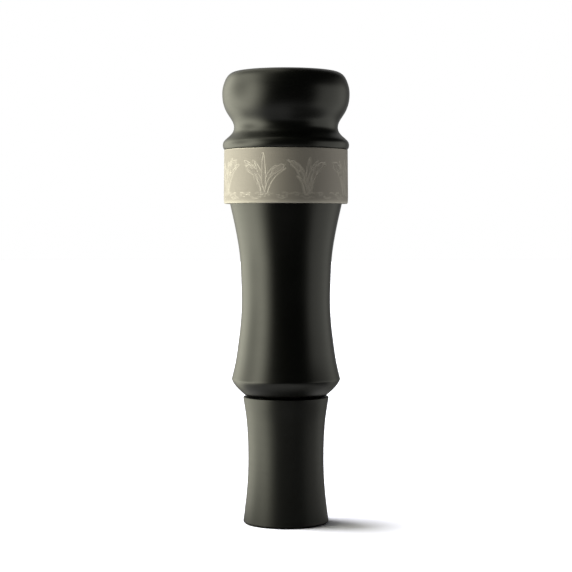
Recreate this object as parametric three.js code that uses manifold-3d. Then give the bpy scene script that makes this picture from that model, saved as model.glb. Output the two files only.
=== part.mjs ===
// A duck call: a turned barrel with a metal band, and an insert that carries two reeds under a
// cork wedge. Units are millimetres. +Z runs up the call's axis, from the insert's standing face
// to the mouthpiece. The origin is the centre of the standing face. The reed side of the tone
// board faces -Y, and a "lift" is a distance from the axis towards -Y.
import * as THREE from "three";
import { mergeVertices } from "three/addons/utils/BufferGeometryUtils.js";
import Module from "manifold-3d";

const wasm = await Module();
wasm.setup();

// ---------------------------------------------------------------- driving dimensions
const SEGMENTS = 48; // facets round the large turned pieces
const QUARTER_TURN = Math.PI / 2;

const TOTAL_HEIGHT = 127.15; // to the mouthpiece lip
const BARREL_FOOT_Z = 36.02;
const SHOULDER_Z = BARREL_FOOT_Z - 0.34; // the gap shows as a dark line
const INSERT_FOOT_R = 12.08;

const BAND_Z0 = 90.05;
const BAND_Z1 = 105.2;
const BAND_R_LOW = 17.48;
const BAND_R_TOP = 17.38;
const BAND_BORE_R = 15.75;
const SEAT_R = BAND_BORE_R - 0.03; // the barrel's seat inside the band
const SEAT_TOP_Z = BAND_Z1 + 0.1;

const BORE_R = 7.975;
const BORE_TOP_Z = 97.0; // the bore tapers from here to the throat
const THROAT_R = 6.6;
const THROAT_Z = 104.0;

const TENON_R = BORE_R - 0.125; // running clearance
const TIP_Z = 92.0; // end of the tone board
const TIP_CHAMFER = { length: 1.4, depth: 1.0 };
const RING_Z = [40.0, 45.4]; // O-ring centres
const RING_SECTION_R = 1.78 / 2; // radius of the cord
const RING_MEAN_R = 7.03;
const RING_SECTION_SEGMENTS = 12;
const GROOVE_FLOOR_R = 6.1;
const GROOVE_HALF = 1.05;

const FLOOR_LIFT = 1.2; // the tone board's flat
const CURVE_Z = 62.0; // where the flat starts to fall away
const CURVE_STEPS = 12;
const TIP_DROP = 1.4; // fall of the tone board at its tip
const BOARD_CUT_HALF = 9; // clears the tenon on both sides
const BOARD_CUT_TOP = 9;

const SLOT_Z0 = 48.4; // blind end of the wedge slot
const BRIDGE_Z = 60.6; // front edge of the bridge over the wedge
const SLOT_HALF = 4.95;
const SLOT_WALL_LIFT = 2.9; // where the straight walls meet the arch
const SLOT_ROOF_LIFT = 6.0;
const ARCH_STEPS = 10;

const CHANNEL_R = 3.2;
const CHANNEL_LIFT = -0.6;
const CHANNEL_Z0 = 30; // starts inside the exhaust
const CHANNEL_END_Z = 84.2; // centre of its round blind end
const CHANNEL_END_STEPS = 6;
const CHANNEL_SEGMENTS = 32;
const EXHAUST_R = 8.3;
const EXHAUST_TOP_Z = 37;

const REED_THICKNESS = 0.28;
const REED_HALF = 4.75;
const REED_TAIL_Z = SLOT_Z0 + 0.4;
const LOWER_TIP_Z = 90.4;
const UPPER_TIP_Z = LOWER_TIP_Z - 1.5;
const LOWER_LIFT = 1.5; // underside of each reed
const UPPER_LIFT = 2.1;

const RIVET_Z = 80.0;
const RIVET_SHANK_R = 0.52;
const RIVET_HOLE_R = RIVET_SHANK_R + 0.1;
const RIVET_LOWER_HEAD_R = 0.9;
const RIVET_UPPER_HEAD_R = 1.0;
const RIVET_HEAD_GAP = 0.02; // from each head to the reed
const RIVET_HEAD_REACH = 0.26; // from the reed to each head's outer face
const RIVET_SEGMENTS = 16;

const WEDGE_Z0 = SLOT_Z0 + 0.3;
const WEDGE_Z1 = 62.3;
const WEDGE_HALF = SLOT_HALF - 0.1;
const WEDGE_TOP_LIFT = SLOT_ROOF_LIFT - 0.12;
const WEDGE_BASE_LIFT = 1.6; // before the underside is cut
const WEDGE_FRONT_LIFT = 2.46; // underside at the front
const WEDGE_CUT_HALF = 7; // clears the wedge on both sides

// ---------------------------------------------------------------- helpers

const vectors = (pairs) => pairs.map(([first, second]) => new THREE.Vector2(first, second));

// A turned piece from a closed [radius, z] outline.
function turned(outline, segments = SEGMENTS) {
  const geometry = new THREE.LatheGeometry(vectors([...outline, outline[0]]), segments);
  return geometry.rotateX(QUARTER_TURN);
}

// Points along a smooth curve through [z, radius] knots, as [radius, z].
function faired(knots, count) {
  const curve = new THREE.SplineCurve(vectors(knots));
  return curve.getPoints(count).map((point) => [point.y, point.x]);
}

function extruded(shape, depth, curveSegments = 12) {
  return new THREE.ExtrudeGeometry(shape, { depth, bevelEnabled: false, curveSegments });
}

// A prism whose [z, lift] outline lies in the plane through the axis, centred on x = 0.
function sidePrism(outline, halfWidth) {
  // local x -> +Z, local y -> -Y, local z -> -X, shifted to be centred
  const placement = new THREE.Matrix4().set(
    0, 0, -1, halfWidth,
    0, -1, 0, 0,
    1, 0, 0, 0,
    0, 0, 0, 1,
  );
  return extruded(new THREE.Shape(vectors(outline)), 2 * halfWidth).applyMatrix4(placement);
}

// A prism whose [x, lift] outline lies across the axis, running from z0 to z1.
function crossPrism(outline, z0, z1) {
  const shape = new THREE.Shape(vectors(outline.map(([x, lift]) => [x, -lift])));
  return extruded(shape, z1 - z0).translate(0, 0, z0);
}

// Welds a geometry into a manifold, facing outwards whichever way its outline ran.
function solid(geometry) {
  const loose = geometry.index ? geometry.toNonIndexed() : geometry.clone();
  // Normals and uvs would keep coincident vertices apart.
  for (const name of ["normal", "uv"]) loose.deleteAttribute(name);
  const welded = mergeVertices(loose, 1e-4);
  const corners = welded.index.array;
  const triangles = [];
  for (let i = 0; i < corners.length; i += 3) {
    const triangle = [...corners.slice(i, i + 3)];
    if (new Set(triangle).size === 3) triangles.push(triangle);
  }
  const build = (faces) =>
    new wasm.Manifold(
      new wasm.Mesh({
        numProp: 3,
        vertProperties: new Float32Array(welded.attributes.position.array),
        triVerts: new Uint32Array(faces.flat()),
      }),
    );
  const made = build(triangles);
  if (made.volume() > 0) return made;
  return build(triangles.map(([first, second, third]) => [first, third, second]));
}

function geometryOf(manifold) {
  const { vertProperties, triVerts } = manifold.getMesh();
  const geometry = new THREE.BufferGeometry();
  geometry.setAttribute("position", new THREE.BufferAttribute(vertProperties, 3));
  geometry.setIndex(new THREE.BufferAttribute(triVerts, 1));
  geometry.computeVertexNormals();
  return geometry;
}

// ---------------------------------------------------------------- materials
const finish = (settings) => new THREE.MeshStandardMaterial(settings);

const satinBlack = finish({ color: 0x262722, roughness: 0.42, metalness: 0 });
const insertBlack = finish({ color: 0x282925, roughness: 0.5, metalness: 0 });
const bandMetal = finish({ color: 0xaaa593, roughness: 0.4, metalness: 1 });
const ringRubber = finish({ color: 0x141414, roughness: 0.6, metalness: 0 });
const reedFilm = finish({ color: 0xd9dcd8, roughness: 0.3, metalness: 0 });
const corkTan = finish({ color: 0xb98a58, roughness: 0.9, metalness: 0 });
const rivetBrass = finish({ color: 0xb08d45, roughness: 0.3, metalness: 1 });

// ---------------------------------------------------------------- barrel

// Rounded chamfer at the foot, [radius, z].
const FOOT_CHAMFER = [
  [11.26, BARREL_FOOT_Z], [12.03, 36.6], [13.13, 37.6], [14.06, 38.57],
  [14.72, 39.45], [15.13, 40.15], [15.29, 40.62],
];
// Drawn-in waist up to the band seat, [z, radius].
const WAIST_KNOTS = [
  [41.0, 15.26], [42.1, 14.985], [44, 14.53], [48, 13.8], [52, 13.265], [56, 12.815],
  [59, 12.588], [62, 12.48], [65, 12.488], [68, 12.59], [71, 12.7], [74, 12.86],
  [77, 13.175], [80, 13.645], [83, 14.206], [86, 14.832], [88, 15.286], [90.0, SEAT_R],
];
// Bead above the band, [radius, z].
const BEAD = [
  [SEAT_R, SEAT_TOP_Z], [17.42, SEAT_TOP_Z], [17.62, 105.62], [17.77, 106.2],
  [17.785, 106.65], [17.7, 107.12], [17.4, 107.62],
];
// Lanyard neck, bulb and rounded lip, [z, radius]; the first knot is the bead's last point.
const NECK_KNOTS = [
  [107.62, 17.4], [108.2, 16.84], [109.0, 15.93], [109.8, 15.2], [110.6, 14.775],
  [111.5, 14.62], [112.5, 14.78], [113.6, 15.3], [114.8, 16.09], [116.0, 16.81],
  [117.2, 17.33], [118.8, 17.74], [120.5, 17.91], [122.0, 17.83], [123.2, 17.6],
  [124.3, 17.23], [125.2, 16.81], [126.0, 16.21], [126.6, 15.48], [126.98, 14.6],
  [TOTAL_HEIGHT, 13.2],
];
// Down the inside from the mouth to the foot, [radius, z].
const MOUTH_AND_BORE = [
  [12.0, TOTAL_HEIGHT], [10.9, 126.72], [9.6, 125.85], [8.4, 124.65], [7.4, 123.1],
  [6.8, 121.6], [THROAT_R, 120.0], [THROAT_R, THROAT_Z], [BORE_R, BORE_TOP_Z],
  [BORE_R, BARREL_FOOT_Z + 1], [8.9, BARREL_FOOT_Z],
];

function barrel() {
  return turned([
    ...FOOT_CHAMFER,
    ...faired(WAIST_KNOTS, 20),
    ...BEAD,
    ...faired(NECK_KNOTS, 30).slice(1),
    ...MOUTH_AND_BORE,
  ]);
}

// A slightly tapered sleeve with eased outer edges.
function band() {
  return turned([
    [BAND_BORE_R, BAND_Z0],
    [BAND_R_LOW - 0.32, BAND_Z0],
    [BAND_R_LOW - 0.09, BAND_Z0 + 0.1],
    [BAND_R_LOW, BAND_Z0 + 0.34],
    [BAND_R_TOP, BAND_Z1 - 0.2],
    [BAND_R_TOP - 0.18, BAND_Z1],
    [BAND_BORE_R, BAND_Z1],
  ]);
}

// ---------------------------------------------------------------- insert

// Waisted grip between the standing face and the shoulder, [z, radius].
const GRIP_KNOTS = [
  [0.62, INSERT_FOOT_R], [1.6, 11.935], [4, 11.635], [7, 11.275], [10, 10.985],
  [13, 10.79], [16, 10.69], [19, 10.665], [22, 10.715], [25, 10.835], [28, 11.042],
  [31, 11.375], [33, 11.69], [35.15, 12.01],
];
// Flared exhaust bore, [radius, z]; it starts below the standing face to cut cleanly.
const EXHAUST_OUTLINE = [
  [0, -1], [EXHAUST_R + 1.6, -1], [EXHAUST_R + 0.6, 0], [EXHAUST_R, 0.75],
  [7.55, 4], [6.7, 9], [5.6, 16], [4.65, 23], [3.9, 30],
  [CHANNEL_R, EXHAUST_TOP_Z], [0, EXHAUST_TOP_Z],
];
// The bridge's front, a hollow sweep that leans back towards the shoulder, [z, lift].
const BRIDGE_FRONT = [
  [57.2, BOARD_CUT_TOP], [57.6, 7.4], [58.4, 5.4], [59.4, 3.4], [60.2, 2.0],
];

// The insert before its passages, board and slot are cut.
function insertBlank() {
  const grooves = RING_Z.flatMap((z) => [
    [TENON_R, z - GROOVE_HALF],
    [GROOVE_FLOOR_R, z - GROOVE_HALF],
    [GROOVE_FLOOR_R, z + GROOVE_HALF],
    [TENON_R, z + GROOVE_HALF],
  ]);
  return turned([
    [0, 0],
    [11.5, 0],
    [11.86, 0.16],
    ...faired(GRIP_KNOTS, 18),
    [12.0, 35.5],
    [11.8, SHOULDER_Z],
    [TENON_R, SHOULDER_Z],
    ...grooves,
    [TENON_R, TIP_Z - TIP_CHAMFER.length],
    [TENON_R - TIP_CHAMFER.depth, TIP_Z],
    [0, TIP_Z],
  ]);
}

// The tone channel is a blind round hole centred just to the +Y side of the axis,
// and it breaks out along the flat.
function channel() {
  const outline = [[0, CHANNEL_Z0], [CHANNEL_R, CHANNEL_Z0], [CHANNEL_R, CHANNEL_END_Z]];
  for (let i = 1; i < CHANNEL_END_STEPS; i++) {
    const angle = (i / CHANNEL_END_STEPS) * QUARTER_TURN;
    outline.push([
      CHANNEL_R * Math.cos(angle),
      CHANNEL_END_Z + CHANNEL_R * Math.sin(angle),
    ]);
  }
  outline.push([0, CHANNEL_END_Z + CHANNEL_R]);
  return turned(outline, CHANNEL_SEGMENTS).translate(0, -CHANNEL_LIFT, 0);
}

// Everything above the board: flat from the bridge, then a steady curve down to the tip.
function boardCut() {
  const outline = [[BRIDGE_Z, FLOOR_LIFT], [CURVE_Z, FLOOR_LIFT]];
  for (let i = 1; i <= CURVE_STEPS; i++) {
    const along = i / CURVE_STEPS;
    outline.push([
      CURVE_Z + (TIP_Z - CURVE_Z) * along,
      FLOOR_LIFT - TIP_DROP * along * along,
    ]);
  }
  outline.push(
    [TIP_Z + 1, FLOOR_LIFT - TIP_DROP - 0.1],
    [TIP_Z + 1, BOARD_CUT_TOP],
    ...BRIDGE_FRONT,
  );
  return sidePrism(outline, BOARD_CUT_HALF);
}

// An [x, lift] section with straight walls and an arched roof, for the slot and the wedge.
function archOutline(halfWidth, floor, roof) {
  const outline = [[-halfWidth, floor], [halfWidth, floor], [halfWidth, SLOT_WALL_LIFT]];
  for (let i = 1; i < ARCH_STEPS; i++) {
    const angle = (i / ARCH_STEPS) * Math.PI;
    outline.push([
      halfWidth * Math.cos(angle),
      SLOT_WALL_LIFT + (roof - SLOT_WALL_LIFT) * Math.sin(angle),
    ]);
  }
  outline.push([-halfWidth, SLOT_WALL_LIFT]);
  return outline;
}

// Runs past the bridge's front edge so that the slot opens onto the board.
function wedgeSlot() {
  const section = archOutline(SLOT_HALF, FLOOR_LIFT, SLOT_ROOF_LIFT);
  return crossPrism(section, SLOT_Z0, BRIDGE_Z + 2);
}

function insert() {
  const cuts = [turned(EXHAUST_OUTLINE), channel(), boardCut(), wedgeSlot()];
  return cuts.reduce((body, cut) => body.subtract(solid(cut)), solid(insertBlank()));
}

// ---------------------------------------------------------------- reeds, rivet and wedge

// Tip corners of each reed on its +X side, [inset from the edge, distance short of the tip].
const EASED_CORNER = [[0, 0.7], [0.2, 0.2], [0.7, 0]];
const CLIPPED_CORNER = [[0, 1.9], [1.9, 0]];

// A flat reed lying across the lift direction; lift is that of its underside.
function reed({ tipZ, corner, lift, holeRadius }) {
  const tipCorner = corner.map(([inset, short]) => [REED_HALF - inset, tipZ - short]);
  const mirrored = tipCorner.map(([x, z]) => [-x, z]).reverse();
  const tail = [[-REED_HALF, REED_TAIL_Z], [REED_HALF, REED_TAIL_Z]];
  const shape = new THREE.Shape(vectors([...tail, ...tipCorner, ...mirrored]));
  if (holeRadius) {
    const hole = new THREE.Path();
    hole.absarc(0, RIVET_Z, holeRadius, 0, 2 * Math.PI, true);
    shape.holes.push(hole);
  }
  return extruded(shape, REED_THICKNESS, 8)
    .rotateX(QUARTER_TURN) // outline y -> +Z, depth -> -Y
    .translate(0, -lift, 0);
}

// Spacer rivet: shank through the lower reed, one head on each side, clear of the upper reed.
function rivet() {
  const top = LOWER_LIFT + REED_THICKNESS;
  const outline = [
    [0, LOWER_LIFT - RIVET_HEAD_REACH],
    [RIVET_LOWER_HEAD_R, LOWER_LIFT - RIVET_HEAD_REACH],
    [RIVET_LOWER_HEAD_R, LOWER_LIFT - RIVET_HEAD_GAP],
    [RIVET_SHANK_R, LOWER_LIFT - RIVET_HEAD_GAP],
    [RIVET_SHANK_R, top + RIVET_HEAD_GAP],
    [RIVET_UPPER_HEAD_R, top + RIVET_HEAD_GAP],
    [RIVET_UPPER_HEAD_R, top + RIVET_HEAD_REACH],
    [0, top + RIVET_HEAD_REACH],
  ];
  return turned(outline, RIVET_SEGMENTS)
    .rotateX(QUARTER_TURN) // its own z -> -Y
    .translate(0, 0, RIVET_Z);
}

// The wedge: arched top to fit the slot, underside rising towards the blind end.
function wedge() {
  const section = archOutline(WEDGE_HALF, WEDGE_BASE_LIFT, WEDGE_TOP_LIFT);
  const undersideCut = [
    [WEDGE_Z0 - 1, 0],
    [WEDGE_Z1 + 1, 0],
    [WEDGE_Z1 + 1, WEDGE_FRONT_LIFT],
    [61.5, WEDGE_FRONT_LIFT],
    [WEDGE_Z0, 2.96],
    [WEDGE_Z0 - 1, 3.0],
  ];
  // slopes the front end back towards the top
  const noseCut = [
    [WEDGE_Z1 + 2, 2.9],
    [WEDGE_Z1 + 2, 9],
    [WEDGE_Z1 - 1.7, 9],
    [WEDGE_Z1 - 1.1, 5.9],
    [WEDGE_Z1, 2.9],
  ];
  return solid(crossPrism(section, WEDGE_Z0, WEDGE_Z1))
    .subtract(solid(sidePrism(undersideCut, WEDGE_CUT_HALF)))
    .subtract(solid(sidePrism(noseCut, WEDGE_CUT_HALF)));
}

// ---------------------------------------------------------------- scene graph
function mesh(name, geometry, material) {
  const piece = new THREE.Mesh(geometry, material);
  piece.name = name;
  return piece;
}

function oRing(name, z) {
  const torus = new THREE.TorusGeometry(
    RING_MEAN_R, RING_SECTION_R, RING_SECTION_SEGMENTS, SEGMENTS,
  );
  const ring = mesh(name, torus, ringRubber);
  ring.position.z = z;
  return ring;
}

const lowerReed = reed({
  tipZ: LOWER_TIP_Z, corner: EASED_CORNER, lift: LOWER_LIFT, holeRadius: RIVET_HOLE_R,
});
const upperReed = reed({ tipZ: UPPER_TIP_Z, corner: CLIPPED_CORNER, lift: UPPER_LIFT });

const insertGroup = new THREE.Group();
insertGroup.add(
  mesh("insert", geometryOf(insert()), insertBlack),
  mesh("cork_wedge", geometryOf(wedge()), corkTan),
  mesh("lower_reed", lowerReed, reedFilm),
  mesh("upper_reed", upperReed, reedFilm),
  mesh("reed_spacer_rivet", geometryOf(solid(rivet())), rivetBrass),
  oRing("lower_o_ring", RING_Z[0]),
  oRing("upper_o_ring", RING_Z[1]),
);

const barrelGroup = new THREE.Group();
barrelGroup.add(
  mesh("barrel", geometryOf(solid(barrel())), satinBlack),
  mesh("band", geometryOf(solid(band())), bandMetal),
);

const call = new THREE.Group();
call.name = "duck_call";
call.add(insertGroup, barrelGroup);

export default call;
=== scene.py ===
"""Looks for the duck call: turned barrel, engraved band, and insert with its reeds.

Everything is in metres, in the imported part's own frame. Lengths written in millimetres are scaled by MM.
"""

import math

import bmesh
import bpy
import numpy as np
from mathutils import Matrix, Vector


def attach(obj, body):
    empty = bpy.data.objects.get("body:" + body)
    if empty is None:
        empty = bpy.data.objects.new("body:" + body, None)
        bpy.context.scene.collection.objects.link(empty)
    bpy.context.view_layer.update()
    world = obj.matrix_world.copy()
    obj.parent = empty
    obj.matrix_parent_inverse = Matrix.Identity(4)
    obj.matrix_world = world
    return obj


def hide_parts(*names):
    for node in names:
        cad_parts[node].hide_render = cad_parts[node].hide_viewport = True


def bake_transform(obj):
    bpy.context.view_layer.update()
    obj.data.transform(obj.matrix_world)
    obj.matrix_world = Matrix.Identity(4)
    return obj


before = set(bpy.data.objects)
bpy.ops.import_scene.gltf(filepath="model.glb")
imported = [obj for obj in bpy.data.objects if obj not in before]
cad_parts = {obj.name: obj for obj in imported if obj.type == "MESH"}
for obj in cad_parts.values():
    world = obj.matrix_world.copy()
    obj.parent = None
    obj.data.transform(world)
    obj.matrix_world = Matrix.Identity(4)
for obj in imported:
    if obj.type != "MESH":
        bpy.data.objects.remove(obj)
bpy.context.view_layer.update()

MM = 0.001

# ------------------------------------------------------------------ studio settings
# The key is a round panel on the left with a dimmer middle, a little weaker at its top and bottom, and it wraps behind the
# call. Directions are in degrees.
KEY, KEY_COLOR = 5.1, (1.0, 0.992, 0.798)
KEY_CENTRE, KEY_RADII, KEY_SOFT = (-87, 2), (38.5, 45), 0.46
KEY_DIM_CENTRE, KEY_DIM_RADII, KEY_DIM = (-94, 15), (20, 20), 0.55
KEY_FULL_EL, KEY_ENDS = (-45, -25, 14, 34), 0.84
REAR, REAR_AZ, REAR_EL = 0.74, (-172, -116, -104, -88), (-48, -28, 22, 44)
TOP, TOP_AZ, TOP_EL = 0.74, (-181, -165, -70, -15), (26, 46)
FILL, FILL_COLOR = 0.87, (1.0, 1.0, 0.89)
FILL_AZ, FILL_EL = (48, 72, 119, 152), (-50, -30, 7, 29)
BACK, BACK_AZ, BACK_EL = 0.35, (138, 168), (-25, -5, 40, 70)
GROUND, GROUND_EL = 0.36, (-50, -24)
WORLD_DIM = 0.022
SUN, SUN_ANGLE, SUN_AZ, SUN_EL = 3.15, 31, -111, 60
# what reflections see of the floor, with painted shade: (brightness near the call, brightness farther off on the shaded
# side, how far it reaches)
FLOOR_ALBEDO, FLOOR_SHADED, FLOOR_GAIN = 0.42, 0.07, 1.2
FLOOR_REACH, FLOOR_REACH_SHADED = (0.036, 0.090), (0.10, 0.18)
SCENE = bpy.context.scene


# ------------------------------------------------------------------ profile helpers
def cubic(knots, step=0.12):
    """A smooth curve through (z, r) knots, with continuous curvature, sampled every step mm."""
    p = np.array(knots, float)
    t = np.concatenate([[0], np.cumsum(np.hypot(*np.diff(p, axis=0).T))])
    n = len(p)
    h = np.diff(t)
    a = np.zeros((n, n))
    b = np.zeros((n, 2))
    a[0, 0] = a[-1, -1] = 1.0
    # the end conditions keep the curvature equal across the first and the last two spans
    a[0, 1] = a[-1, -2] = -1.0
    for i in range(1, n - 1):
        a[i, i - 1], a[i, i], a[i, i + 1] = h[i - 1], 2 * (h[i - 1] + h[i]), h[i]
        b[i] = 6 * ((p[i + 1] - p[i]) / h[i] - (p[i] - p[i - 1]) / h[i - 1])
    m = np.linalg.solve(a, b)
    count = max(2, int(math.ceil(t[-1] / step)) + 1)
    s = np.linspace(0, t[-1], count)
    i = np.clip(np.searchsorted(t, s, side="right") - 1, 0, n - 2)
    u, v = (t[i + 1] - s)[:, None], (s - t[i])[:, None]
    hi = h[i][:, None]
    return (
        m[i] * u**3 / (6 * hi)
        + m[i + 1] * v**3 / (6 * hi)
        + (p[i] / hi - m[i] * hi / 6) * u
        + (p[i + 1] / hi - m[i + 1] * hi / 6) * v
    )


def line(a, b, step=0.6):
    a, b = np.array(a, float), np.array(b, float)
    n = max(2, int(math.ceil(np.linalg.norm(b - a) / step)) + 1)
    return a + (b - a) * np.linspace(0, 1, n)[:, None]


def _arc_cut(points, setback, from_end):
    """The polyline with setback mm taken off one end."""
    pts = points[::-1] if from_end else points
    d = np.concatenate([[0], np.cumsum(np.hypot(*np.diff(pts, axis=0).T))])
    setback = min(setback, d[-1] * 0.45)
    k = int(np.searchsorted(d, setback, side="right"))
    w = (setback - d[k - 1]) / (d[k] - d[k - 1])
    cut = np.vstack([pts[k - 1] + (pts[k] - pts[k - 1]) * w, pts[k:]])
    if len(cut) > 1 and np.linalg.norm(cut[1] - cut[0]) < 1e-4:
        cut = np.vstack([cut[:1], cut[2:]])
    return cut[::-1] if from_end else cut


def joined(parts, radii, closed=True):
    """Polylines joined end to start, each corner eased by a small round of the given setback."""
    parts = [np.array(p, float) for p in parts]
    corners = [p[-1].copy() for p in parts]
    count = len(parts)
    for k in range(count):
        if k == count - 1 and not closed:
            break
        rr = radii[k]
        if rr > 0:
            nxt = (k + 1) % count
            parts[k] = _arc_cut(parts[k], rr, True)
            parts[nxt] = _arc_cut(parts[nxt], rr, False)
    out = []
    for k in range(count):
        out.append(parts[k])
        if (k == count - 1 and not closed) or radii[k] <= 0:
            continue
        a, c, b = parts[k][-1], corners[k], parts[(k + 1) % count][0]
        t = np.linspace(0, 1, 8)[1:-1, None]
        out.append((1 - t) ** 2 * a + 2 * t * (1 - t) * c + t**2 * b)
    pts = np.vstack(out)
    keep = [0]
    for i in range(1, len(pts)):
        if np.linalg.norm(pts[i] - pts[keep[-1]]) > 1e-4:
            keep.append(i)
    pts = pts[keep]
    if closed and np.linalg.norm(pts[0] - pts[-1]) < 1e-4:
        pts = pts[:-1]
    return pts


# ------------------------------------------------------------------ mesh helpers
def make_object(name, verts, faces, smooth=True):
    me = bpy.data.meshes.new(name)
    me.from_pydata([tuple(v) for v in verts], [], [tuple(f) for f in faces])
    me.validate()
    me.update()
    for p in me.polygons:
        p.use_smooth = smooth
    ob = bpy.data.objects.new(name, me)
    SCENE.collection.objects.link(ob)
    return ob


def outward(ob):
    bm = bmesh.new()
    bm.from_mesh(ob.data)
    bmesh.ops.recalc_face_normals(bm, faces=bm.faces)
    if bm.calc_volume(signed=True) < 0:
        bmesh.ops.reverse_faces(bm, faces=bm.faces)
    bm.to_mesh(ob.data)
    bm.free()
    ob.data.update()


def turned(name, outline, segments=192):
    """A ring-shaped turned body from a closed (z, r) outline in mm."""
    p = np.array(outline, float)
    n = len(p)
    ang = np.arange(segments) * 2 * math.pi / segments
    z = np.repeat(p[:, 0], segments)
    r = np.repeat(p[:, 1], segments)
    a = np.tile(ang, n)
    v = np.stack([r * np.cos(a), r * np.sin(a), z], 1) * MM
    f = []
    for i in range(n):
        i2 = (i + 1) % n
        for j in range(segments):
            j2 = (j + 1) % segments
            f.append((i * segments + j, i * segments + j2, i2 * segments + j2, i2 * segments + j))
    ob = make_object(name, v, f)
    outward(ob)
    return ob


def turned_solid(name, outline, segments=192):
    """A turned body whose open (z, r) outline starts and ends on the axis."""
    p = np.array(outline, float)
    inner = p[1:-1]
    n = len(inner)
    ang = np.arange(segments) * 2 * math.pi / segments
    z = np.repeat(inner[:, 0], segments)
    r = np.repeat(inner[:, 1], segments)
    a = np.tile(ang, n)
    v = list(np.stack([r * np.cos(a), r * np.sin(a), z], 1) * MM)
    lo, hi = len(v), len(v) + 1
    v += [np.array([0, 0, p[0, 0]]) * MM, np.array([0, 0, p[-1, 0]]) * MM]
    f = []
    for i in range(n - 1):
        for j in range(segments):
            j2 = (j + 1) % segments
            f.append((i * segments + j, i * segments + j2, (i + 1) * segments + j2, (i + 1) * segments + j))
    for j in range(segments):
        j2 = (j + 1) % segments
        f.append((lo, j2, j))
        f.append((hi, (n - 1) * segments + j, (n - 1) * segments + j2))
    ob = make_object(name, v, f)
    outward(ob)
    return ob


# ------------------------------------------------------------------ shader helpers
class Graph:
    """Short names for building shader node trees."""

    def __init__(self, tree):
        self.t = tree

    def node(self, kind, **props):
        n = self.t.nodes.new(kind)
        for k, v in props.items():
            setattr(n, k, v)
        return n

    def put(self, socket, value):
        if isinstance(value, bpy.types.NodeSocket):
            self.t.links.new(value, socket)
        elif isinstance(value, (tuple, list)) and len(socket.default_value) == 4 and len(value) == 3:
            socket.default_value = (*value, 1)
        else:
            socket.default_value = value

    def math(self, op, a, b=0.0, c=None, clamp=False):
        n = self.node("ShaderNodeMath", operation=op, use_clamp=clamp)
        self.put(n.inputs[0], a)
        self.put(n.inputs[1], b)
        if c is not None:
            self.put(n.inputs[2], c)
        return n.outputs[0]

    def ramp(self, value, lo, hi, out_lo=0.0, out_hi=1.0, kind="SMOOTHSTEP"):
        n = self.node("ShaderNodeMapRange", interpolation_type=kind)
        n.clamp = True
        for k, v in enumerate((value, lo, hi, out_lo, out_hi)):
            self.put(n.inputs[k], v)
        return n.outputs[0]

    def window(self, value, lo0, lo1, hi0, hi1):
        """1 between lo1 and hi0, easing to 0 at lo0 and hi1."""
        return self.math("MULTIPLY", self.ramp(value, lo0, lo1), self.ramp(value, hi0, hi1, 1.0, 0.0))

    def mix(self, fac, a, b, blend="MIX"):
        n = self.node("ShaderNodeMix", data_type="RGBA", blend_type=blend)
        self.put(n.inputs[0], fac)
        self.put(n.inputs[6], a)
        self.put(n.inputs[7], b)
        return n.outputs[2]

    def scale(self, color, value):
        n = self.node("ShaderNodeVectorMath", operation="SCALE")
        self.put(n.inputs[0], color)
        self.put(n.inputs[3], value)
        return n.outputs[0]

    def add(self, a, b):
        n = self.node("ShaderNodeVectorMath", operation="ADD")
        self.put(n.inputs[0], a)
        self.put(n.inputs[1], b)
        return n.outputs[0]


    def vec(self, vector, x, y, z):
        """The vector scaled by (x, y, z)."""
        n = self.node("ShaderNodeVectorMath", operation="MULTIPLY")
        self.put(n.inputs[0], vector)
        n.inputs[1].default_value = (x, y, z)
        return n.outputs[0]

    def noise(self, vector, scale, detail=2.0, rough=0.5, warp=0.0):
        n = self.node("ShaderNodeTexNoise", noise_dimensions="3D")
        self.put(n.inputs["Vector"], vector)
        self.put(n.inputs["Scale"], scale)
        self.put(n.inputs["Detail"], detail)
        self.put(n.inputs["Roughness"], rough)
        self.put(n.inputs["Distortion"], warp)
        return n.outputs["Fac"]

    def noise1(self, value, scale, detail=2.0, rough=0.5):
        n = self.node("ShaderNodeTexNoise", noise_dimensions="1D")
        self.put(n.inputs["W"], value)
        self.put(n.inputs["Scale"], scale)
        self.put(n.inputs["Detail"], detail)
        self.put(n.inputs["Roughness"], rough)
        return n.outputs["Fac"]

    def cells(self, vector, scale, feature="F1", output="Distance", random=1.0):
        n = self.node("ShaderNodeTexVoronoi", feature=feature)
        self.put(n.inputs["Vector"], vector)
        self.put(n.inputs["Scale"], scale)
        self.put(n.inputs["Randomness"], random)
        return n.outputs[output]

    def attribute(self, name):
        return self.node("ShaderNodeAttribute", attribute_name=name).outputs["Fac"]

    def bump(self, height, depth, normal=None):
        """A bump whose height runs 0 to 1 over depth metres."""
        n = self.node("ShaderNodeBump")
        n.inputs["Strength"].default_value = 1.0
        n.inputs["Distance"].default_value = depth
        self.put(n.inputs["Height"], height)
        if normal is not None:
            self.put(n.inputs["Normal"], normal)
        return n.outputs[0]


def surface(name):
    """A new material, its graph, its Principled shader and its object-space position."""
    m = bpy.data.materials.new(name)
    m.use_nodes = True
    g = Graph(m.node_tree)
    shader = m.node_tree.nodes["Principled BSDF"]
    where = g.node("ShaderNodeTexCoord").outputs["Object"]
    return m, g, shader, where


def scratches(g, where, spin, along, across, low, high):
    """Thin lines: noise stretched along one direction, kept only near its crest."""
    r = g.node("ShaderNodeVectorRotate", rotation_type="EULER_XYZ")
    g.put(r.inputs["Vector"], where)
    r.inputs["Rotation"].default_value = spin
    n = g.noise(g.vec(r.outputs[0], along, across, along), 1.0, 3.0, 0.6)
    return g.ramp(n, low, high)


# ------------------------------------------------------------------ the call's outlines, (z, r) in mm
FOOT_Z = 36.02
SHOULDER_Z = 35.68
TOP_Z = 127.15
SEAT_R = 15.72
BORE_R = 7.975
THROAT_R = 6.6
TENON_R = 7.85
TIP_Z = 92.0

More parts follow.
